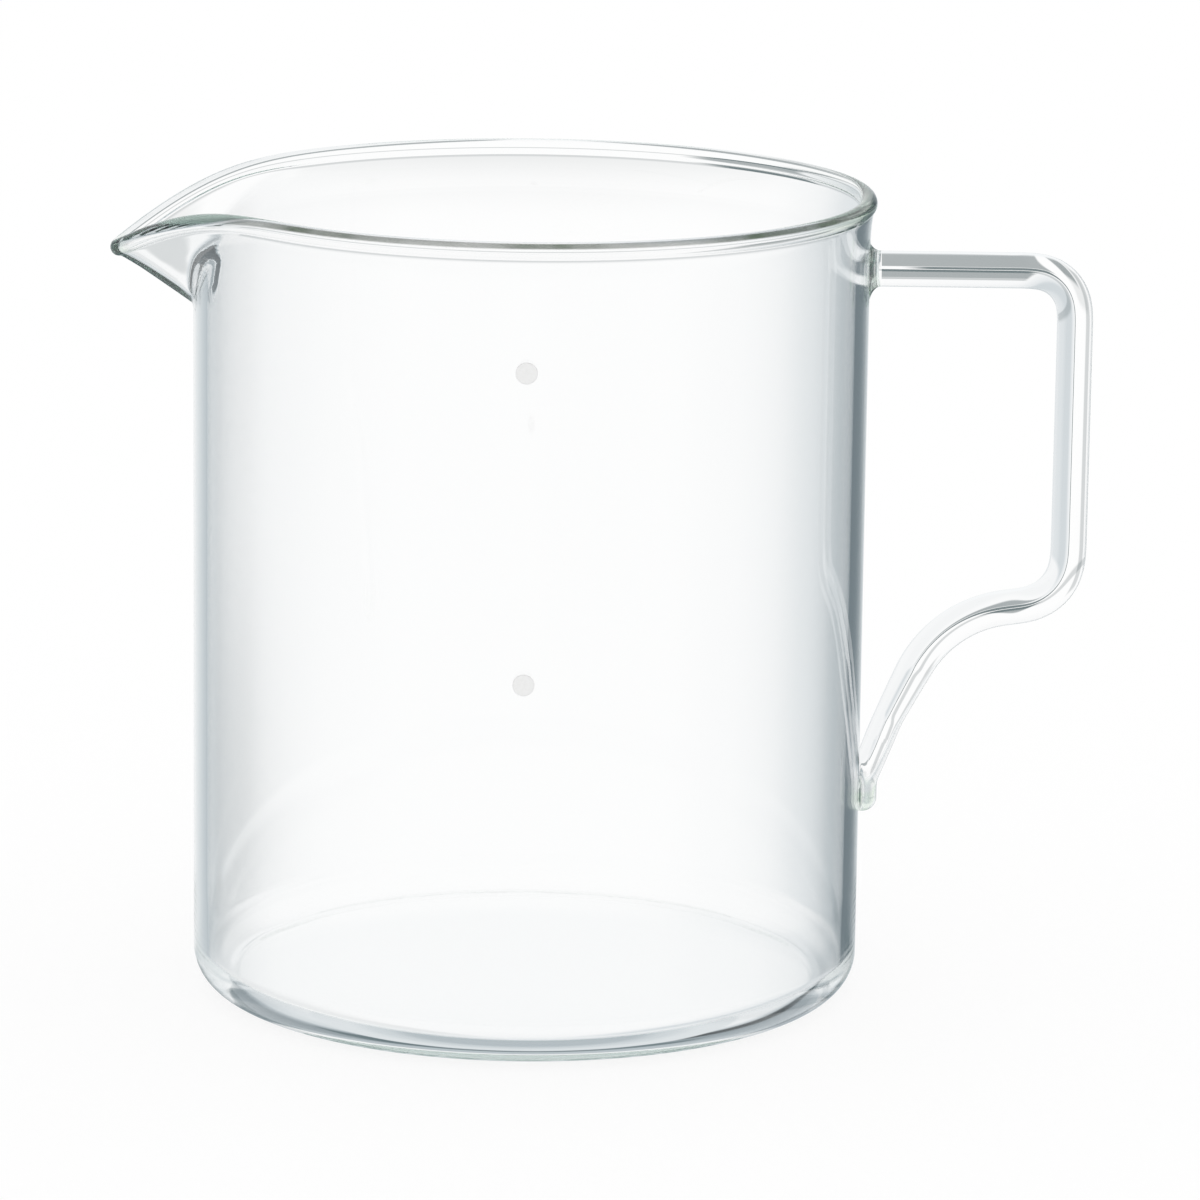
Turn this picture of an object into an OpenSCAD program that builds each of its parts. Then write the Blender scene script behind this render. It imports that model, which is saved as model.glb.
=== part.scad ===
// Glass coffee server: a straight-sided jug with a pulled spout and a handle
// bent from solid glass rod. The origin is the middle of the underside, +Z is
// up, the spout points along -X and the handle along +X. Millimetres throughout.

/* [Jug wall and floor] */
// Outside diameter of the straight wall
body_d = 99.4; // [90:0.2:110]
// Height from the table to the top of the rim
jug_h = 120; // [110:1:140]
// Thickness of the wall
wall_t = 2; // [1.6:0.1:2.6]
// Thickness of the floor
floor_t = 2; // [1.6:0.1:4]
// Radius of the rounded heel, outside, where the wall meets the floor
heel_r = 5.5; // [3:0.5:9]
// Radius of the cove, inside, where the wall meets the floor
cove_r = 5; // [3:0.5:8]

/* [Rim] */
// Diameter of the bead that the flame leaves round the rim
bead_d = 2.6; // [2.2:0.1:3.2]
// How far the rim leans out past the straight wall
flare_out = 0.6; // [0:0.1:1.5]
// Height over which the rim leans out
flare_h = 6; // [3:0.5:8]

/* [Spout] */
// How far the tip stands out past the rim
spout_reach = 11.4; // [8:0.2:14]
// How far the tip dips below the rim
spout_dip = 8.2; // [6:0.2:10]
// Height of the wall that the spout is pulled from, up to the rim
spout_h = 16; // [14:0.5:20]
// Half of the spout's width at the rim, in degrees round the jug
spout_rim_angle = 50; // [40:1:56]
// Half of the spout's width at its root, in degrees round the jug
spout_root_angle = 6; // [5:0.5:16]
// How hollow the spout's sides are at the rim
spout_rim_power = 3.3; // [2.5:0.1:4]
// How hollow the spout's sides are at its root
spout_root_power = 2.4; // [1:0.1:3]
// Roundness of the tip, in degrees round the jug
spout_tip_angle = 1.8; // [1:0.2:4]

/* [Handle rod] */
// Diameter of the rod
rod_d = 5.3; // [4.6:0.1:6]
// Diameter of the rod where its tail meets the melted glass
tail_d = 4.5; // [4:0.1:5.2]
// Distance from the rim down to the middle of the top run
handle_drop = 11.3; // [10:0.1:14]
// Distance from the wall out to the middle of the grip
grip_out = 30.4; // [26:0.1:36]
// Distance from the top run down to the lower run, middle to middle
grip_h = 50.1; // [44:0.1:56]
// Length of the lower run, from the grip in to the knee
lower_run = 18.1; // [15:0.1:19]
// How far the knee lies below the lower elbow
knee_fall = 1.2; // [0:0.1:4]
// Distance from the knee down to the heel of the tail
tail_fall = 16.7; // [13:0.1:19]
// Distance from the wall out to the middle of the tail at its heel
tail_out = 4.1; // [3.6:0.1:5]
// Length of the tail from its heel to the melted glass
tail_run = 3; // [1:0.1:3.4]
// Bend radius of the upper elbow, to the middle of the rod
upper_elbow_r = 6; // [5:0.5:9]
// Bend radius of the lower elbow, to the middle of the rod
lower_elbow_r = 7.5; // [5:0.5:8]
// Bend radius of the knee, to the middle of the rod
knee_r = 17.5; // [10:0.5:18.5]
// Bend radius of the tail's heel, to the middle of the rod
tail_heel_r = 5; // [4:0.5:14]

/* [Welds] */
// Length of the melted foot at the top run, out from the wall
foot_len = 3.8; // [3:0.1:5]
// Radius of the hollow flare from the rod into the foot
foot_flare_r = 2; // [1:0.1:2.6]
// Distance from the tail's heel down to where the melted glass turns down the wall
melt_fall = 9.3; // [8:0.1:12]
// Bend radius of the melted glass where it turns down the wall
melt_r = 6; // [3:0.5:10]
// Distance from that turn down to the middle of the end bead
end_bead_fall = 2.8; // [2:0.1:5]
// Diameter of the end bead
end_bead_d = 4.2; // [3.6:0.1:5]
// Distance from the wall out to the middle of the end bead
end_bead_out = 0.6; // [0.3:0.1:1.2]

/* [Level dots] */
// Diameter of a dot
dot_d = 3.1; // [2:0.1:5]
// Thickness of a dot
dot_t = 0.2; // [0.1:0.05:0.4]
// Distance from the rim down to the middle of the upper dot
upper_dot_drop = 18.5; // [14:0.5:30]
// Distance from the upper dot down to the lower dot, middle to middle
dot_span = 44.8; // [30:0.1:56]

/* [Hidden] */

glass_tint = [0.86, 0.92, 0.90, 0.45];
weld_tint = [0.72, 0.84, 0.76, 0.60];
enamel_tint = [0.93, 0.93, 0.92];

// Smoothness of round shapes, and counts of what the rod and the spout are made of
$fn = 72;
wall_sides = 180;
rod_sides = 24;
bend_steps = 8;
spout_cols = 52;
plain_cols = 64;
collar_rings = 8;
bead_steps = 11;
cap_steps = 6;
// Half of the slice of the rim that the spout takes up, in degrees
spout_span = spout_rim_angle + spout_tip_angle;
// Columns crowd towards the tip by this power
crowd_power = 1.4;
// The spout widens from its root to the rim by this power
widening_power = 1.9;
// The collar's flat facets stay this far inside the round wall that they stand on
facet_margin = 0.06;
collar_half = wall_t / 2 - facet_margin;
// The collar reaches this far down into the wall
collar_sink = 0.5;
// Overrun of a cut past the face that it opens
overrun = 1;

body_r = body_d / 2;
bead_r = bead_d / 2;
bead_z = jug_h - bead_r;
root_z = bead_z - spout_h;
mid_r = body_r - wall_t / 2;

// Middle line of the handle, as [out from the axis, height]
run_z = jug_h - handle_drop;
elbow_top = [body_r + grip_out, run_z];
elbow_low = [body_r + grip_out, run_z - grip_h];
knee = [elbow_low.x - lower_run, elbow_low.y - knee_fall];
rod_start = [body_r + foot_len, run_z];
tail_heel = [body_r + tail_out, knee.y - tail_fall];
melt_turn = [body_r + end_bead_out, tail_heel.y - melt_fall];
end_bead = melt_turn - [0, end_bead_fall];

function unit(v) = v / norm(v);
function left_of(v) = [-v.y, v.x];
function heading(v) = atan2(v.y, v.x);
function turn(u, v) = atan2(u.x * v.y - u.y * v.x, u * v);
function turned(v, angle) = [v.x * cos(angle) - v.y * sin(angle), v.x * sin(angle) + v.y * cos(angle)];

// Share of the spout's full pull at an angle from the spout's middle and at a
// share of the way up from the root to the rim
function softened(angle) = sqrt(pow(angle, 2) + pow(spout_tip_angle, 2)) - spout_tip_angle;
function from_root(root, rim, up) = root + (rim - root) * pow(up, widening_power);
function pull(angle, up) =
    let(width = from_root(spout_root_angle, spout_rim_angle, up),
        power = from_root(spout_root_power, spout_rim_power, up))
    up * pow(max(0, 1 - softened(angle) / width), power);

// Middle line of the wall above the root, as [radius, height]
function lean(z) = flare_out * pow(max(0, (z - bead_z + flare_h) / flare_h), 2);
function wall_mid(angle, up) =
    let(z = root_z + up * spout_h, share = pull(angle, up))
    [mid_r + lean(z) + spout_reach * share, z - spout_dip * share];

// Closed outline of the collar at an angle from the spout's middle: up the
// outside, round the bead, down the inside
function collar_side(angle, side) = concat(
    [wall_mid(angle, 0) + [side * collar_half, -collar_sink]],
    [for (i = [0 : collar_rings - 1]) wall_mid(angle, i / collar_rings) + [side * collar_half, 0]]);
function collar_bead(angle) =
    let(top = wall_mid(angle, 1),
        slope = heading(top - wall_mid(angle, 1 - 1 / collar_rings)),
        sunk = asin(collar_half * sin(slope) / bead_r))
    [for (i = [0 : bead_steps])
        let(a = slope - 180 + sunk + (360 - 2 * sunk) * i / bead_steps)
        top + bead_r * [cos(a), sin(a)]];
function reversed(list) = [for (i = [len(list) - 1 : -1 : 0]) list[i]];
function collar_outline(angle) =
    concat(collar_side(angle, 1), collar_bead(angle), reversed(collar_side(angle, -1)));

// Straight wall, heel and cove, up to the height where the spout begins
module cup_profile(r, z, corner) {
    translate([0, z]) square([r - corner, root_z - z]);
    translate([0, z + corner]) square([r, root_z - z - corner]);
    translate([r - corner, z + corner]) circle(corner);
}

module cup() {
    rotate_extrude($fn = wall_sides) difference() {
        cup_profile(body_r, 0, heel_r);
        cup_profile(body_r - wall_t, floor_t, cove_r);
    }
}

// Rim and spout, lofted all the way round from one outline to the next
module collar() {
    spout_angles = [for (i = [0 : spout_cols])
        let(u = 2 * i / spout_cols - 1) spout_span * sign(u) * pow(abs(u), crowd_power)];
    plain_angles = [for (i = [1 : plain_cols - 1]) spout_span + (360 - 2 * spout_span) * i / plain_cols];
    angles = concat(spout_angles, plain_angles);
    m = len(angles);
    n = len(collar_outline(0));
    points = [for (angle = angles, p = collar_outline(angle))
        [-p.x * cos(angle), -p.x * sin(angle), p.y]];
    skin = [for (i = [0 : m - 1], j = [0 : n - 1])
        let(a = i * n + j, b = i * n + (j + 1) % n, step = ((i + 1) % m - i) * n)
        each [[a, b, b + step], [a, b + step, a + step]]];
    polyhedron(points, skin);
}

module glass_body() {
    color(glass_tint) union() {
        cup();
        collar();
    }
}

// Stations along the middle line of the rod, each as [place, direction, diameter]
function setback(a, corner, b, r) = r * tan(abs(turn(corner - a, b - corner)) / 2);
function bend(a, corner, b, r, d) =
    let(u = unit(corner - a), sweep = turn(corner - a, b - corner),
        start = corner - u * setback(a, corner, b, r),
        centre = start + sign(sweep) * r * left_of(u))
    [for (i = [0 : bend_steps]) let(a = sweep * i / bend_steps)
        [centre + turned(start - centre, a), turned(u, a), d]];
bent_rod = concat(
    [[rod_start, [1, 0], rod_d]],
    bend(rod_start, elbow_top, elbow_low, upper_elbow_r, rod_d),
    bend(elbow_top, elbow_low, knee, lower_elbow_r, rod_d),
    bend(elbow_low, knee, tail_heel, knee_r, rod_d),
    bend(knee, tail_heel, melt_turn, tail_heel_r, tail_d));
tail_way = unit(melt_turn - tail_heel);
rod_end = bent_rod[len(bent_rod) - 1][0] + tail_run * tail_way;
rod_line = concat(bent_rod, [[rod_end, tail_way, tail_d]]);

// The melted glass goes on from the rod, turns down the wall and ends in half a ball
melt_line = concat(
    [[rod_end, tail_way, tail_d]],
    bend(rod_end, melt_turn, end_bead, melt_r, end_bead_d),
    [for (i = [0 : cap_steps]) let(a = 90 * i / (cap_steps + 1))
        [end_bead - [0, end_bead_d / 2 * sin(a)], [0, -1], end_bead_d * cos(a)]]);

// Round glass through the stations of a line
module swept(line) {
    count = len(line);
    points = [for (s = line, i = [0 : rod_sides - 1])
        let(side = s[0] + left_of(s[1]) * s[2] / 2 * cos(360 * i / rod_sides))
        [side.x, s[2] / 2 * sin(360 * i / rod_sides), side.y]];
    skin = [for (i = [0 : count - 2], j = [0 : rod_sides - 1])
        let(a = i * rod_sides + j, b = i * rod_sides + (j + 1) % rod_sides)
        each [[a, b + rod_sides, a + rod_sides], [a, b, b + rod_sides]]];
    end = (count - 1) * rod_sides;
    caps = [for (j = [1 : rod_sides - 2]) each [[0, j + 1, j], [end, end + j, end + j + 1]]];
    polyhedron(points, concat(skin, caps));
}

module handle() {
    color(glass_tint) swept(rod_line);
}

// Cuts away what lies inside the jug's outer surface, so that a weld fits it
module fitted_to_wall() {
    difference() {
        children();
        cylinder(r = body_r, h = jug_h, $fn = wall_sides);
    }
}

// The foot flares from the rod to the wall with a hollow curve
module upper_weld() {
    foot_r = rod_d / 2 + foot_flare_r;
    color(weld_tint) fitted_to_wall()
        translate([body_r - wall_t, 0, run_z]) rotate([0, 90, 0]) rotate_extrude() difference() {
            square([foot_r, wall_t + foot_len]);
            translate([foot_r, wall_t + foot_flare_r]) circle(foot_flare_r);
            translate([rod_d / 2, wall_t + foot_flare_r]) square([foot_r, foot_len]);
        }
}

// The tail runs down against the wall in melted glass and ends in a round bead
module lower_weld() {
    color(weld_tint) fitted_to_wall() swept(melt_line);
}

// A thin disc that follows the front of the wall
module level_dot(height) {
    color(enamel_tint) intersection() {
        translate([0, 0, height]) rotate([90, 0, 0]) cylinder(d = dot_d, h = body_d);
        difference() {
            cylinder(r = body_r + dot_t, h = jug_h, $fn = wall_sides);
            translate([0, 0, -overrun]) cylinder(r = body_r, h = jug_h + 2 * overrun, $fn = wall_sides);
        }
    }
}

module upper_level_dot() {
    level_dot(jug_h - upper_dot_drop);
}

module lower_level_dot() {
    level_dot(jug_h - upper_dot_drop - dot_span);
}

glass_body();
handle();
upper_weld();
lower_weld();
upper_level_dot();
lower_level_dot();
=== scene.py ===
"""Looks of the glass coffee server: a clear jug with a pulled spout and a handle bent from glass rod."""

from math import atan2, ceil, cos, exp, hypot, pi, radians, sin, sqrt, tan

import bmesh
import bpy
from mathutils import Matrix, Vector


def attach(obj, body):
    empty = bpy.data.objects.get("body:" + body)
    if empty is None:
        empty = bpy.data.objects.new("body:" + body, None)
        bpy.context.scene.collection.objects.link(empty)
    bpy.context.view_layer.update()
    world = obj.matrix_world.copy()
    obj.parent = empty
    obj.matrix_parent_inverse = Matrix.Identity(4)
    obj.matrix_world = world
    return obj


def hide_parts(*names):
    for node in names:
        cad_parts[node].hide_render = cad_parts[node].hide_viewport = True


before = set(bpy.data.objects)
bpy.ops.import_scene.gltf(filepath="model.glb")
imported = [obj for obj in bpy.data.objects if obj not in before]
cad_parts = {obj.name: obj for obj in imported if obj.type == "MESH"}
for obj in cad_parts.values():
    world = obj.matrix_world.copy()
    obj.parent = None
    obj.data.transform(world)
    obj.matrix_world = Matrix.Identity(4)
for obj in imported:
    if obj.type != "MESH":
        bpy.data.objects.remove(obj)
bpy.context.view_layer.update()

MM = 0.001

# Jug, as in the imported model
BODY_R = 49.7 * MM
JUG_H = 120 * MM
WALL_T = 2 * MM
FLOOR_T = 2 * MM
HEEL_R = 5.5 * MM
COVE_R = 5 * MM
BEAD_R = 1.3 * MM
FLARE_OUT = 0.6 * MM
FLARE_H = 6 * MM

# Spout, angles in degrees round the jug
SPOUT_REACH = 11.4 * MM
SPOUT_DIP = 8.2 * MM
SPOUT_H = 16 * MM
SPOUT_RIM_ANGLE = 50
SPOUT_ROOT_ANGLE = 6
SPOUT_RIM_POWER = 3.3
SPOUT_ROOT_POWER = 2.4
SPOUT_TIP_ANGLE = 1.8
WIDENING_POWER = 1.9
ROOT_SOFTNESS = 1.4 * MM
NECK = 0.1 * MM
SWELL_H = 1.6 * MM
# The fans over the middle of the floor and of the underside begin at this radius
FAN_R = 2 * MM

# Handle rod
ROD_D = 5.3 * MM
TAIL_D = 4.5 * MM
HANDLE_DROP = 11.3 * MM
GRIP_OUT = 30.4 * MM
GRIP_H = 50.1 * MM
LOWER_RUN = 18.1 * MM
KNEE_FALL = 1.2 * MM
TAIL_FALL = 16.7 * MM
TAIL_OUT = 4.1 * MM
TAIL_RUN = 3 * MM
UPPER_ELBOW_R = 6 * MM
LOWER_ELBOW_R = 7.5 * MM
KNEE_R = 17.5 * MM
TAIL_HEEL_R = 5 * MM
# Hot rod doesn't bend all at once: its line is evened out over about this length
BEND_SPREAD = 1.6 * MM
ROD_STEP = 0.4 * MM

# Welds
FOOT_LEN = 3.8 * MM
FOOT_FLARE_R = 1.7 * MM
FOOT_TEAR = 1.4 * MM
# Share of the foot's rings that lie where it is as slim as the rod
SLIM_SHARE = 0.25
MELT_FALL = 9.3 * MM
MELT_R = 6 * MM
END_BEAD_FALL = 2.8 * MM
END_BEAD_D = 4.2 * MM
END_BEAD_OUT = 0.6 * MM
# The melted end widens by this share where it touches the wall, and less with distance from it
WIDENED_SHARE = 0.35
WELD_FILLET = 0.5 * MM
# The welds reach this far into the wall that they are melted onto
FUSED = 0.1 * MM

# Level dots
DOT_R = 1.55 * MM
DOT_T = 0.2 * MM
# Between the wall and the back of a dot, so that the two surfaces don't flicker
DOT_GAP = 0.01 * MM
UPPER_DOT_Z = 101.5 * MM
LOWER_DOT_Z = 56.7 * MM

# Glass: how rough its haziest spots are, and the jug's own tint. The size of a pattern is a noise
# scale.
GLASS_IOR = 1.47
BODY_HAZE, ROD_HAZE, WELD_HAZE = 0.01, 0.03, 0.05
HAZE_SCALE = 60
BODY_TINT, BODY_DENSITY = (0.4, 0.6, 0.52), 3
WHITE = (1, 1, 1, 1)

# The green edge of the rim, from and to in sixteenths of the bead's outline from its outer side,
# and its colour: the glass's green, darkened far past it as painted shade for the bead's dark line
RIM_STEPS = 16
RIM_GREEN_SHADE_SPAN = (3.1, 5.4)
RIM_GREEN_AND_SHADE = (0.018, 0.032, 0.015)
RIM_PATCH_SCALE = 90
# Between these places along X the front of the bead turns a little green, on the handle's side and
# at the tip of the spout, and its dark edge of painted shade fades beside the spout. Along Y the green
# fades to the back.
HANDLE_SIDE = (38 * MM, 48 * MM)
SPOUT_END = (-58.5 * MM, -61.5 * MM)
SPOUT_FADE = (-47 * MM, -41 * MM)
FRONT_FADE = (-6 * MM, 6 * MM)
SIDE_GREEN = (0.9, 0.99, 0.84)
WELD_GREEN = (0.76, 0.89, 0.74)
WELD_PATCH_SCALE = 420
ENAMEL_TONES = ((0.80, 0.80, 0.79), (0.88, 0.88, 0.88))
SPECK_SCALE = 3000

# Floor
FLOOR_SIZE = 4
FLOOR_DROP = 0.2 * MM
FLOOR_GLOW_SHARE = 0.87

# Camera, solved together with the body from the outlines in the photo. Tilt down in degrees, roll
# in radians.
SENSOR_WIDTH = 36
LENS = 194.5
CAMERA_TILT = 12.46
CAMERA_ROLL = 0.0131
CAMERA_PLACE = (10.66 * MM, -941.7 * MM, 266.3 * MM)

# Light that is trapped in the wall and the floor comes out only after many bounces
BOUNCES = 160

BEAD_Z = JUG_H - BEAD_R
ROOT_Z = BEAD_Z - SPOUT_H
MID_R = BODY_R - WALL_T / 2
RUN_Z = JUG_H - HANDLE_DROP


def share(value, low, high):
    """How far value has gone from low to high, held between 0 and 1."""
    return min(1, max(0, (value - low) / (high - low)))


def eased(value, low, high):
    s = share(value, low, high)
    return s * s * (3 - 2 * s)


def spaced(low, high, count):
    return [low + (high - low) * i / count for i in range(count + 1)]


def mesh_piece(name, vertices, faces, along, crease):
    """A smooth shaded mesh that rides on the jug, with a map of how far along it each point lies."""
    mesh = bpy.data.meshes.new(name)
    mesh.from_pydata(vertices, [], faces)
    places = mesh.uv_layers.new(name="along").data
    for loop in mesh.loops:
        places[loop.index].uv = along[loop.vertex_index]
    work = bmesh.new()
    work.from_mesh(mesh)
    bmesh.ops.recalc_face_normals(work, faces=work.faces)
    work.to_mesh(mesh)
    work.free()
    mesh.shade_smooth()
    mesh.set_sharp_from_angle(angle=radians(crease))
    piece = bpy.data.objects.new(name, mesh)
    bpy.context.scene.collection.objects.link(piece)
    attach(piece, "root")
    return piece


def rings_to_faces(rings, per_ring):
    """Quads between neighbouring rings of points, each ring closed."""
    faces = []
    for i in range(rings - 1):
        for j in range(per_ring):
            a = i * per_ring + j
            b = i * per_ring + (j + 1) % per_ring
            faces.append((a, b, b + per_ring, a + per_ring))
    return faces


def capped_tube(name, rings, crease=40, ends=(True, True)):
    """A tube through rings of points, with a fan over each end that is closed."""
    per_ring, last = len(rings[0]), len(rings) - 1
    vertices = [p for ring in rings for p in ring]
    faces = rings_to_faces(len(rings), per_ring)
    along = [(j / per_ring, i / last) for i in range(len(rings)) for j in range(per_ring)]
    for end, closed in enumerate(ends):
        if not closed:
            continue
        first, middle = end * last * per_ring, len(vertices)
        vertices.append(sum(rings[end * last], Vector()) / per_ring)
        faces += [(middle, first + j, first + (j + 1) % per_ring) for j in range(per_ring)]
        along.append((0.5, end))
    return mesh_piece(name, vertices, faces, along, crease)


# Jug wall and spout


def softened(angle):
    return sqrt(angle ** 2 + SPOUT_TIP_ANGLE ** 2) - SPOUT_TIP_ANGLE


def from_root(root, rim, up):
    return root + (rim - root) * up ** WIDENING_POWER


def pull(angle, up):
    """Share of the spout's full pull, at an angle from its middle and a share of its height."""
    width = from_root(SPOUT_ROOT_ANGLE, SPOUT_RIM_ANGLE, up)
    power = from_root(SPOUT_ROOT_POWER, SPOUT_RIM_POWER, up)
    return up * max(0, 1 - softened(angle) / width) ** power


def rise(z):
    """Height above the spout's root as a share of its own, with a soft start."""
    d = z - ROOT_Z
    if d >= ROOT_SOFTNESS:
        return d / SPOUT_H
    return max(0, d + ROOT_SOFTNESS) ** 2 / (4 * ROOT_SOFTNESS * SPOUT_H)


def lean(z):
    return FLARE_OUT * max(0, (z - BEAD_Z + FLARE_H) / FLARE_H) ** 2


def wall_middle(angle, z):
    """Point on the middle of the wall's thickness, at an angle in degrees from the spout."""
    s = pull(angle, rise(z))
    r = MID_R + lean(z) + SPOUT_REACH * s
    a = radians(angle)
    return Vector((-r * cos(a), -r * sin(a), z - SPOUT_DIP * s))


def wall_frame(angle, z):
    """Outward and upward directions of the wall at a point of its middle."""
    da, dz = 0.05, 0.05 * MM
    along = wall_middle(angle + da, z) - wall_middle(angle - da, z)
    up = wall_middle(angle, z) - wall_middle(angle, z - dz)
    out = along.cross(up).normalized()
    if out.dot(wall_middle(angle, z).xy.to_3d()) < 0:
        out = -out
    return out, up.normalized()


def half_wall(z):
    """Half of the wall's thickness, which runs softly into the round of the rim's bead."""
    beyond = sqrt(max(0, BEAD_R ** 2 - (BEAD_Z - z) ** 2)) - WALL_T / 2
    return WALL_T / 2 + (beyond + hypot(beyond, NECK)) / 2


def wall_side(angle, heights, side):
    return [wall_middle(angle, z) + side * half_wall(z) * wall_frame(angle, z)[0] for z in heights]


def rim_bead(angle, steps=14):
    middle = wall_middle(angle, BEAD_Z)
    out, up = wall_frame(angle, BEAD_Z)
    r = half_wall(BEAD_Z)
    return [middle + r * (out * cos(a) + up * sin(a)) for a in spaced(0, pi, steps)[1:-1]]


def at_angle(angle, profile):
    a = radians(angle)
    return [Vector((-r * cos(a), -r * sin(a), z)) for r, z in profile]


def corner_arc(r, z, radius, start, end, steps=14):
    return [(r + radius * cos(a), z + radius * sin(a)) for a in spaced(start, end, steps)]


def jug_outline(angle):
    """From the middle of the underside out, up, over the rim and down to the middle of the floor."""
    flat = spaced(FAN_R, BODY_R - HEEL_R, 6)[:-1]
    spout_base, spout_start = ROOT_Z - ROOT_SOFTNESS, ROOT_Z + ROOT_SOFTNESS
    heights = spaced(spout_base, spout_start, 10)[:-1] + spaced(spout_start, BEAD_Z - SWELL_H, 18)[:-1]
    heights += spaced(BEAD_Z - SWELL_H, BEAD_Z, 12)
    inner_r = BODY_R - WALL_T
    under = [(r, 0) for r in flat] + corner_arc(BODY_R - HEEL_R, HEEL_R, HEEL_R, -pi / 2, 0)
    outside = [(BODY_R, z) for z in spaced(HEEL_R, spout_base, 10)[1:-1]]
    inside = [(inner_r, z) for z in spaced(spout_base, FLOOR_T + COVE_R, 10)[1:-1]]
    cove = corner_arc(inner_r - COVE_R, FLOOR_T + COVE_R, COVE_R, 0, -pi / 2)
    floor = [(r, FLOOR_T) for r in spaced(inner_r - COVE_R, FAN_R, 6)[1:]]
    return (at_angle(angle, under + outside) + wall_side(angle, heights, 1) + rim_bead(angle)
            + wall_side(angle, heights[::-1], -1) + at_angle(angle, inside + cove + floor))


def rim_span():
    """Where the outer half of the rim's bead begins and its inner half ends, along the jug's outline."""
    points = jug_outline(180)
    last = len(points) - 1
    outer = min(i for i, p in enumerate(points) if p.z > BEAD_Z)
    inner = max(i for i, p in enumerate(points) if p.z > BEAD_Z)
    return (outer - 1) / last, (inner + 1) / last


def make_jug():
    half, crowd, spout_steps, plain_steps = SPOUT_RIM_ANGLE + SPOUT_TIP_ANGLE, 1.5, 140, 180
    shares = spaced(-1, 1, spout_steps)
    angles = [half * abs(s) ** crowd * (1 if s > 0 else -1) for s in shares]
    angles += spaced(half, 360 - half, plain_steps)[1:-1]
    columns = [jug_outline(angle) for angle in angles]
    rings = [list(ring) for ring in zip(*columns)]
    return capped_tube("jug_glass", rings, crease=80)


# Handle rod


def bend(start, corner, end, radius, size, steps=20):
    """Stations round a bend, each with its place, direction and diameter, in the plane of the handle."""
    u, v = (corner - start).normalized(), (end - corner).normalized()
    sweep = atan2(u.x * v.y - u.y * v.x, u.dot(v))
    side = 1 if sweep > 0 else -1
    first = corner - u * radius * tan(abs(sweep) / 2)
    centre = first + side * radius * Vector((-u.y, u.x))
    stations = []
    for i in range(steps + 1):
        turned = Matrix.Rotation(sweep * i / steps, 2)
        stations.append((centre + turned @ (first - centre), turned @ u, size))
    return stations


def rod_line():
    """Stations of the rod from the upper weld to the end of its tail, and those of the lower weld."""
    elbow_top = Vector((BODY_R + GRIP_OUT, RUN_Z))
    elbow_low = elbow_top - Vector((0, GRIP_H))
    knee = elbow_low - Vector((LOWER_RUN, KNEE_FALL))
    start = Vector((BODY_R + FOOT_LEN, RUN_Z))
    heel = Vector((BODY_R + TAIL_OUT, knee.y - TAIL_FALL))
    turn = Vector((BODY_R + END_BEAD_OUT, heel.y - MELT_FALL))
    bead = turn - Vector((0, END_BEAD_FALL))
    line = [(start, Vector((1, 0)), ROD_D)]
    line += bend(start, elbow_top, elbow_low, UPPER_ELBOW_R, ROD_D)
    line += bend(elbow_top, elbow_low, knee, LOWER_ELBOW_R, ROD_D)
    line += bend(elbow_low, knee, heel, KNEE_R, ROD_D)
    line += bend(knee, heel, turn, TAIL_HEEL_R, TAIL_D)
    way = (turn - heel).normalized()
    end = line[-1][0] + way * TAIL_RUN
    line.append((end, way, TAIL_D))
    melt = bend(end, turn, bead, MELT_R, END_BEAD_D)
    change = END_BEAD_D - TAIL_D
    taper = [(end.lerp(melt[0][0], s), way, TAIL_D + change * s) for s in spaced(0, 1, 12)[:-1]]
    return line, taper + melt + [(bead, Vector((0, -1)), END_BEAD_D)]


def even_steps(line):
    """Places and diameters at even steps along the line."""
    gone = [0]
    for a, b in zip(line, line[1:]):
        gone.append(gone[-1] + (b[0] - a[0]).length)
    stations, i = [], 0
    for s in spaced(0, gone[-1], ceil(gone[-1] / ROD_STEP)):
        while i < len(line) - 2 and gone[i + 1] < s:
            i += 1
        t = share(s, gone[i], gone[i + 1])
        (here, _, size), (there, _, next_size) = line[i], line[i + 1]
        stations.append((here.lerp(there, t), size + (next_size - size) * t))
    return stations


def evened_out(line):
    """The line with its bends spread a little, as stations with place, direction and diameter."""
    stations = even_steps(line)
    last, reach = len(stations) - 1, round(3 * BEND_SPREAD / ROD_STEP)
    offsets = range(-reach, reach + 1)
    weights = [exp(-(k * ROD_STEP / BEND_SPREAD) ** 2 / 2) for k in offsets]

    def near(i):
        """The place at a station. Beyond either end the line goes on as its own mirror image."""
        if i < 0:
            return 2 * stations[0][0] - stations[-i][0]
        if i > last:
            return 2 * stations[last][0] - stations[2 * last - i][0]
        return stations[i][0]

    places = []
    for i in range(last + 1):
        total = sum((w * near(i + k) for k, w in zip(offsets, weights)), Vector((0, 0)))
        places.append(total / sum(weights))
    ways = [line[0][1]] + [(b - a).normalized() for a, b in zip(places, places[2:])] + [line[-1][1]]
    return [(place, way, size) for place, way, (_, size) in zip(places, ways, stations)]


def section(place, direction, radius, sides=64):
    """Ring of points square to a direction in the plane of the handle."""
    across, sideways = Vector((-direction.y, 0, direction.x)), Vector((0, 1, 0))
    middle = Vector((place.x, 0, place.y))
    return [middle + radius * (across * cos(a) + sideways * sin(a)) for a in spaced(0, 2 * pi, sides)[:-1]]


def make_handle():
    rings = [section(p, d, size / 2) for p, d, size in evened_out(rod_line()[0])]
    return capped_tube("handle_rod", rings, ends=(False, False))


# Welds


def wall_x(y):
    """Outer face of the wall on the handle's side, less what fused pieces share."""
    return sqrt((BODY_R - FUSED) ** 2 - y ** 2)


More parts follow.
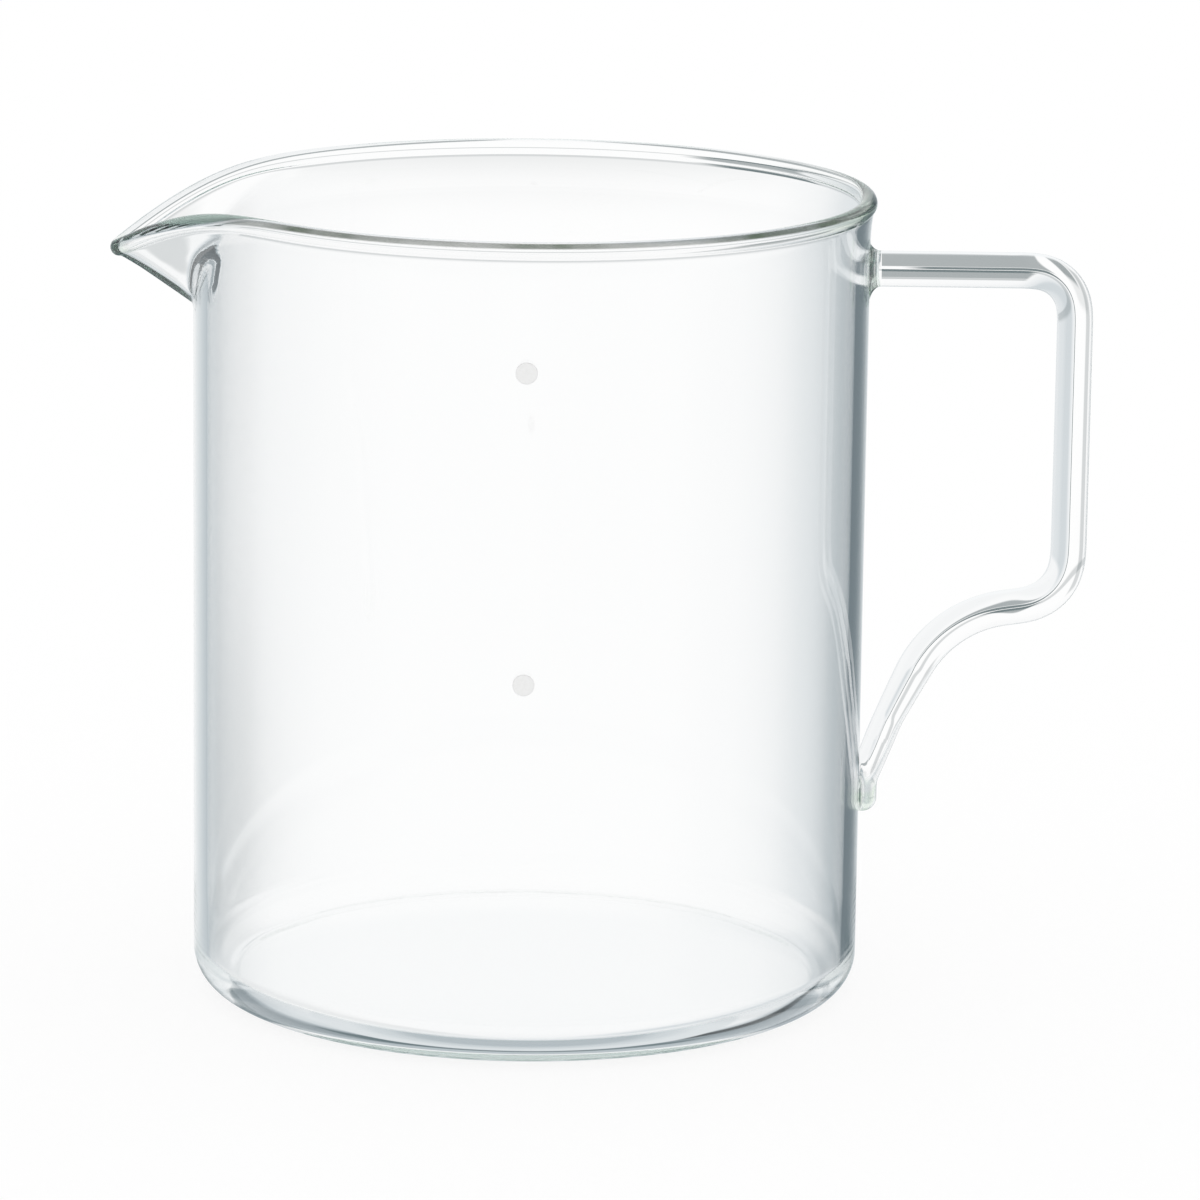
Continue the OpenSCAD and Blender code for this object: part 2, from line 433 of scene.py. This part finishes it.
def make_upper_weld(steps=24, sides=64):
    """Foot that flares from the rod to the wall and hangs in a tear below it."""
    rings = []
    for s in spaced(0, 1, steps):
        a = eased(s, SLIM_SHARE, 1) * pi / 2
        follow = share(s, SLIM_SHARE, 1)
        if s > SLIM_SHARE:
            out, flare = FOOT_FLARE_R * (1 - sin(a)), FOOT_FLARE_R * (1 - cos(a))
        else:
            out, flare = FOOT_LEN - share(s, 0, SLIM_SHARE) * (FOOT_LEN - FOOT_FLARE_R), 0
        ring = []
        for b in spaced(0, 2 * pi, sides)[:-1]:
            tear = FOOT_TEAR * share(flare, 0, FOOT_FLARE_R) * max(0, -sin(b)) ** 3
            r = ROD_D / 2 + flare + tear
            y, z = r * cos(b), r * sin(b)
            x = BODY_R + out + (wall_x(y) - BODY_R) * follow
            ring.append(Vector((x, y, RUN_Z + z)))
        rings.append(ring)
    return capped_tube("upper_weld_glass", rings, crease=50, ends=(False, True))


def make_lower_weld(cap_steps=12):
    """Melted end of the tail, laid on the wall and closed by a round bead."""
    melt = rod_line()[1]
    rings = [section(p, d, size / 2) for p, d, size in melt]
    bead, down, size = melt[-1]
    for a in spaced(0, pi / 2, cap_steps)[1:-1]:
        rings.append(section(bead + down * size / 2 * sin(a), down, size / 2 * cos(a)))
    for ring in rings:
        for p in ring:
            gap = hypot(p.x, p.y) - BODY_R
            p.y *= 1 + WIDENED_SHARE * exp(-max(0, gap) / WELD_FILLET)
            p.x = max(p.x, wall_x(p.y))
    return capped_tube("lower_weld_glass", rings, crease=50, ends=(False, True))


# Level dots


def make_dot(name, z, sides=48):
    """Thin disc of enamel that follows the front of the wall."""
    back = [(s, DOT_GAP) for s in (0.1, 0.4, 0.7, 1)]
    edge = [(1, DOT_T * 0.5), (0.97, DOT_T * 0.85), (0.9, DOT_T)]
    front = [(s, DOT_T) for s in (0.7, 0.5, 0.3, 0.1)]
    rings = []
    for size, lift in back + edge + front:
        ring = []
        for a in spaced(0, 2 * pi, sides)[:-1]:
            x, up = DOT_R * size * cos(a), DOT_R * size * sin(a)
            ring.append(Vector((x, -sqrt((BODY_R + lift) ** 2 - x ** 2), z + up)))
        rings.append(ring)
    return capped_tube(name, rings)


# Nodes


def axes_of(tree, vector):
    split = tree.nodes.new("ShaderNodeSeparateXYZ")
    tree.links.new(vector, split.inputs["Vector"])
    return split.outputs["X"], split.outputs["Y"], split.outputs["Z"]


def feed(tree, socket, value):
    """Sets a socket to a plain value, or links it to another socket."""
    if isinstance(value, (int, float, tuple)):
        socket.default_value = value
    else:
        tree.links.new(value, socket)


def math_node(tree, operation, *values):
    node = tree.nodes.new("ShaderNodeMath")
    node.operation = operation
    for socket, value in zip(node.inputs, values):
        feed(tree, socket, value)
    return node.outputs["Value"]


def mixed(tree, blend, factor, first, second):
    node = tree.nodes.new("ShaderNodeMix")
    node.data_type = "RGBA"
    node.blend_type = blend
    factor_socket, first_socket, second_socket = node.inputs[0], node.inputs[6], node.inputs[7]
    feed(tree, factor_socket, factor)
    feed(tree, first_socket, first)
    feed(tree, second_socket, second)
    return node.outputs[2]


def noise(tree, scale, detail=2):
    place = tree.nodes.new("ShaderNodeTexCoord")
    texture = tree.nodes.new("ShaderNodeTexNoise")
    texture.inputs["Scale"].default_value = scale
    texture.inputs["Detail"].default_value = detail
    tree.links.new(place.outputs["Object"], texture.inputs["Vector"])
    return texture.outputs["Fac"]


def ranged(tree, value, low, high, to_low, to_high, smooth=False):
    node = tree.nodes.new("ShaderNodeMapRange")
    if smooth:
        node.interpolation_type = "SMOOTHSTEP"
    for name, number in (("From Min", low), ("From Max", high), ("To Min", to_low), ("To Max", to_high)):
        node.inputs[name].default_value = number
    tree.links.new(value, node.inputs["Value"])
    return node.outputs["Result"]


def window(tree, value, low, high, soft):
    """1 between low and high, falling to 0 over a soft edge on either side."""
    rises = ranged(tree, value, low - soft, low, 0, 1, smooth=True)
    falls = ranged(tree, value, high, high + soft, 1, 0, smooth=True)
    return math_node(tree, "MULTIPLY", rises, falls)


# Materials


def new_material(name):
    material = bpy.data.materials.new(name)
    material.use_nodes = True
    return material, material.node_tree


def glass_material(name, haziest):
    """Clear glass with a trace of haze."""
    material, tree = new_material(name)
    shader = tree.nodes["Principled BSDF"]
    shader.inputs["Base Color"].default_value = WHITE
    shader.inputs["IOR"].default_value = GLASS_IOR
    shader.inputs["Transmission Weight"].default_value = 1
    haze = ranged(tree, noise(tree, HAZE_SCALE, detail=4), 0.45, 0.75, 0, haziest)
    tree.links.new(haze, shader.inputs["Roughness"])
    return material


def absorb(material, tint, density):
    """A colour that shows only where much glass lies in line."""
    tree = material.node_tree
    volume = tree.nodes.new("ShaderNodeVolumeAbsorption")
    volume.inputs["Color"].default_value = (*tint, 1)
    volume.inputs["Density"].default_value = density
    tree.links.new(volume.outputs["Volume"], tree.nodes["Material Output"].inputs["Volume"])


def colour_glass(material, colour, *masks):
    """Colours the glass where all the masks say so, over any earlier colour: green tints, and at the rim
    painted shade.
    """
    tree = material.node_tree
    amount = masks[0]
    for mask in masks[1:]:
        amount = math_node(tree, "MULTIPLY", amount, mask)
    base = tree.nodes["Principled BSDF"].inputs["Base Color"]
    before = base.links[0].from_socket if base.is_linked else WHITE
    tree.links.new(mixed(tree, "MULTIPLY", amount, before, (*colour, 1)), base)


def along_piece(tree):
    """How far along its piece a point lies, from the map made with the mesh."""
    place = tree.nodes.new("ShaderNodeUVMap")
    place.uv_map = "along"
    return axes_of(tree, place.outputs["UV"])[1]


def tint_and_shade_rim(material):
    """The flame leaves a green edge along the outer half of the rim's bead, uneven from place to place,
    and painted shade darkens it far past that green into a dark line.
    """
    tree = material.node_tree
    along = along_piece(tree)
    x, y, _ = axes_of(tree, tree.nodes.new("ShaderNodeTexCoord").outputs["Object"])
    first, last = rim_span()
    step = (last - first) / RIM_STEPS
    band = window(tree, along, first + step * RIM_GREEN_SHADE_SPAN[0], first + step * RIM_GREEN_SHADE_SPAN[1], step)
    uneven = ranged(tree, noise(tree, RIM_PATCH_SCALE), 0.3, 0.7, 0.75, 1)
    # Painted shade: a near-black green band that draws the rim bead's dark line, fading beside the spout
    colour_glass(material, RIM_GREEN_AND_SHADE, band, uneven, ranged(tree, x, *SPOUT_FADE, 0.2, 1, smooth=True))
    bead = window(tree, along, first - step, last + step, 2 * step)
    at_handle = ranged(tree, x, *HANDLE_SIDE, 0, 1, smooth=True)
    at_tip = ranged(tree, x, *SPOUT_END, 0, 1, smooth=True)
    in_front = ranged(tree, y, *FRONT_FADE, 1, 0.1, smooth=True)
    colour_glass(material, SIDE_GREEN, bead, math_node(tree, "MAXIMUM", at_handle, at_tip), in_front)


def stain_weld(material):
    """Melted glass keeps green patches where it was hottest."""
    tree = material.node_tree
    near_wall = ranged(tree, along_piece(tree), 0.3, 0.95, 0, 1, smooth=True)
    patches = ranged(tree, noise(tree, WELD_PATCH_SCALE, detail=1), 0.45, 0.62, 0.1, 1, smooth=True)
    colour_glass(material, WELD_GREEN, near_wall, patches)


def enamel_material():
    material, tree = new_material("enamel")
    shader = tree.nodes["Principled BSDF"]
    speck = noise(tree, SPECK_SCALE, detail=3)
    ramp = tree.nodes.new("ShaderNodeValToRGB")
    for stop, tone in zip(ramp.color_ramp.elements, ENAMEL_TONES):
        stop.color = (*tone, 1)
    tree.links.new(speck, ramp.inputs["Fac"])
    tree.links.new(ramp.outputs["Color"], shader.inputs["Base Color"])
    tree.links.new(ranged(tree, speck, 0, 1, 0.25, 0.45), shader.inputs["Roughness"])
    return material


# World, floor and camera

# Tones of the studio, as degrees round from straight behind the jug and how bright it is there.
# What a glass wall or rod lets through comes from the first list; what is bounced inside the
# glass comes from the second, the studio's dark cloths, which hang behind the edge of the table.
SEEN_THROUGH = [
    (-180, 1), (-20, 1), (-8, 1), (3, 1), (7, 0.87), (12, 0.7), (20, 0.7), (34, 0.78), (70, 0.88),
    (110, 1), (180, 1)]
BOUNCED = [
    (-180, 0.93), (-125, 0.93), (-90, 0.8), (-64, 0.62), (-34, 0.56), (-22, 0.72), (-10, 0.96),
    (0, 0.97), (7, 0.78), (12, 0.48), (20, 0.24), (50, 0.24), (68, 0.5), (110, 0.75), (135, 0.93),
    (180, 0.93)]
CLOTH_HEIGHTS, CLOTH_EDGE = (-20, 6), 8
# The same for what lies below and above the cloths, as degrees above level, and for the dark things
# that stand on the table behind the jug, again as degrees round
ROOM = [
    (-90, 0.52), (-71, 0.52), (-64, 0.68), (-57, 0.78), (-45, 0.78), (-25, 0.8), (-10, 0.9), (90, 0.93)]
LOW_HEIGHTS, LOW_EDGE = (-49, -19.5), 2
LOW = [
    (-180, 0.85), (-60, 0.85), (-42, 0.8), (-28, 0.72), (-24, 0.48), (-20, 0.3), (-12, 0.34),
    (-7, 0.52), (0, 0.56), (8, 0.52), (13, 0.4), (19, 0.34), (21.5, 0.06), (26, 0.06), (29.5, 0.66),
    (35, 0.88), (180, 0.85)]
# Dark lines of the studio: degrees round, degrees above level, softness of the edges either way and
# the light that they take away. The first list is the far edge of the table and a shade on it, the
# second is bounced in the jug's heel, and the last is seen only through the rod.
TABLE_LINES = [
    ((-60, 60), (-7.8, -5.8), 1, 1.4, 0.34),
    ((-30, -9), (-90, -14.5), 5, 3, 0.17),
]
HEEL_LINES = [
    ((-20, 14), (-49.5, -42), 4, 1.5, 0.62),
    ((-17, -8), (-23, -17.5), 3, 1, 0.55),
    ((14, 21), (-26, -17), 2, 1.5, 0.6),
]
HANDLE_LINES = [
    ((2.2, 5.5), (-90, -15.5), 1, 1.5, 0.61),
    ((-17, -7), (-60, -26), 2, 6, 0.6),
    ((2.95, 3.9), (-14, -9.55), 0.3, 0.15, 0.84),
    ((2, 3.9), (-8.3, -3.9), 0.6, 0.15, 0.82),
    ((2, 4.2), (-3.75, 8), 0.6, 0.3, 0.62),
    ((2, 4.2), (8.4, 14), 0.6, 1, 0.42),
    ((-37, -25), (-40, 5), 4, 6, 0.35),
]
# Rods see the side of the studio less dark than the wall does: where, and how much of it is lit
ROD_LIGHT = ((7, 60), (-60, -17), 3, 3, 0.75)
# Light has passed fewer surfaces than this in the rod, and more in the jug's front and back walls
ROD_SURFACES = 2.5
# What glass lets through from steeply below is pale, whichever way round
STEEP, STEEP_TONE = (-62, -46), (0.94, 0.96, 0.97, 1)
COOL = (0.66, 0.88, 1.0)
DARK = (0, 0.05, 0.06, 1)
# Tone ramps run over a full turn
TURN = (-180, 180)


def tone_ramp(tree, angle, tones):
    """Grey by an angle in degrees: cooler where it is darker."""
    ramp = tree.nodes.new("ShaderNodeValToRGB")
    ramp.color_ramp.interpolation = "EASE"
    stops = ramp.color_ramp.elements
    while len(stops) < len(tones):
        stops.new(0.5)
    for stop, (degree, tone) in zip(stops, tones):
        stop.position = share(degree, *TURN)
        stop.color = (*(tone * (1 - (1 - c) * (1 - tone)) for c in COOL), 1)
    tree.links.new(ranged(tree, angle, *TURN, 0, 1), ramp.inputs["Fac"])
    return ramp.outputs["Color"]


def patch(tree, angles, sides, heights, side_soft, height_soft, strength):
    """The strength within a patch of directions, falling to 0 over its soft edges."""
    round_by, above = angles
    across = window(tree, round_by, *sides, side_soft)
    amount = math_node(tree, "MULTIPLY", across, window(tree, above, *heights, height_soft))
    return math_node(tree, "MULTIPLY", amount, strength)


def darkened(tree, light, angles, lines, where=1):
    """Light less what the lines take away from it."""
    for line in lines:
        amount = math_node(tree, "MULTIPLY", patch(tree, angles, *line), where)
        light = mixed(tree, "MIX", amount, light, DARK)
    return light


def let_through(tree, angles, in_rod):
    """What comes straight through glass."""
    light = darkened(tree, tone_ramp(tree, angles[0], SEEN_THROUGH), angles, TABLE_LINES)
    lit = math_node(tree, "MULTIPLY", patch(tree, angles, *ROD_LIGHT), in_rod)
    light = darkened(tree, mixed(tree, "MIX", lit, light, WHITE), angles, HANDLE_LINES, in_rod)
    steep = ranged(tree, angles[1], *STEEP, 1, 0, smooth=True)
    return mixed(tree, "MIX", steep, light, STEEP_TONE)


def bounced_inside(tree, angles):
    """What has been bounced inside the glass: the room, the cloths and what stands on the table."""
    round_by, above = angles
    at_cloths = window(tree, above, *CLOTH_HEIGHTS, CLOTH_EDGE)
    light = mixed(tree, "MIX", at_cloths, tone_ramp(tree, above, ROOM), tone_ramp(tree, round_by, BOUNCED))
    at_table = window(tree, above, *LOW_HEIGHTS, LOW_EDGE)
    light = mixed(tree, "MIX", at_table, light, tone_ramp(tree, round_by, LOW))
    return darkened(tree, light, angles, HEEL_LINES)


def make_world():
    """White to the camera; glass also sees the studio's soft dark cloths."""
    world = bpy.data.worlds.new("studio")
    world.use_nodes = True
    bpy.context.scene.world = world
    tree = world.node_tree
    x, y, z = axes_of(tree, tree.nodes.new("ShaderNodeTexCoord").outputs["Generated"])
    round_by = math_node(tree, "DEGREES", math_node(tree, "ARCTAN2", x, y))
    above = math_node(tree, "DEGREES", math_node(tree, "ARCSINE", z))
    path = tree.nodes.new("ShaderNodeLightPath").outputs
    in_rod = math_node(tree, "LESS_THAN", path["Transmission Depth"], ROD_SURFACES)
    has_bounced = math_node(tree, "GREATER_THAN", path["Glossy Depth"], 0.5)
    through = let_through(tree, (round_by, above), in_rod)
    tone = mixed(tree, "MIX", has_bounced, through, bounced_inside(tree, (round_by, above)))
    in_glass = math_node(tree, "MAXIMUM", path["Is Glossy Ray"], path["Is Transmission Ray"])
    tree.links.new(mixed(tree, "MIX", in_glass, WHITE, tone), tree.nodes["Background"].inputs["Color"])


def make_floor():
    """Pale floor that reads white to the camera, less a share of the jug's shadow."""
    bpy.ops.mesh.primitive_plane_add(size=FLOOR_SIZE, location=(0, 0, -FLOOR_DROP))
    floor = bpy.context.object
    floor.name = "floor"
    material, tree = new_material("floor")
    tree.nodes.remove(tree.nodes["Principled BSDF"])
    diffuse = tree.nodes.new("ShaderNodeBsdfDiffuse")
    diffuse.inputs["Color"].default_value = WHITE
    glow = tree.nodes.new("ShaderNodeEmission")
    mix = tree.nodes.new("ShaderNodeMixShader")
    mix.inputs["Fac"].default_value = FLOOR_GLOW_SHARE
    tree.links.new(diffuse.outputs["BSDF"], mix.inputs[1])
    tree.links.new(glow.outputs["Emission"], mix.inputs[2])
    tree.links.new(mix.outputs["Shader"], tree.nodes["Material Output"].inputs["Surface"])
    floor.data.materials.append(material)
    floor.visible_glossy = False
    floor.visible_transmission = False


def make_camera():
    data = bpy.data.cameras.new("camera")
    data.sensor_width = SENSOR_WIDTH
    data.lens = LENS
    camera = bpy.data.objects.new("camera", data)
    bpy.context.scene.collection.objects.link(camera)
    tilt = Matrix.Rotation(pi / 2 - radians(CAMERA_TILT), 4, "X")
    camera.matrix_world = Matrix.Translation(CAMERA_PLACE) @ tilt @ Matrix.Rotation(CAMERA_ROLL, 4, "Z")
    bpy.context.scene.camera = camera


def dress(piece, material, slot, *nodes):
    piece.data.materials.append(material)
    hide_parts(*nodes)


make_camera()
make_world()
make_floor()

body_glass = glass_material("body_glass", BODY_HAZE)
absorb(body_glass, BODY_TINT, BODY_DENSITY)
tint_and_shade_rim(body_glass)
rod_glass = glass_material("rod_glass", ROD_HAZE)
weld_glass = glass_material("weld_glass", WELD_HAZE)
stain_weld(weld_glass)
enamel = enamel_material()

dress(make_jug(), body_glass, "body_glass", "glass_body")
dress(make_handle(), rod_glass, "rod_glass", "handle")
dress(make_upper_weld(), weld_glass, "weld_glass", "upper_weld")
dress(make_lower_weld(), weld_glass, "weld_glass", "lower_weld")
dress(make_dot("upper_dot", UPPER_DOT_Z), enamel, "enamel", "upper_level_dot")
dress(make_dot("lower_dot", LOWER_DOT_Z), enamel, "enamel", "lower_level_dot")

cycles = bpy.context.scene.cycles
cycles.max_bounces = BOUNCES
cycles.transmission_bounces = BOUNCES
cycles.glossy_bounces = BOUNCES
bpy.context.scene.view_settings.view_transform = "Standard"
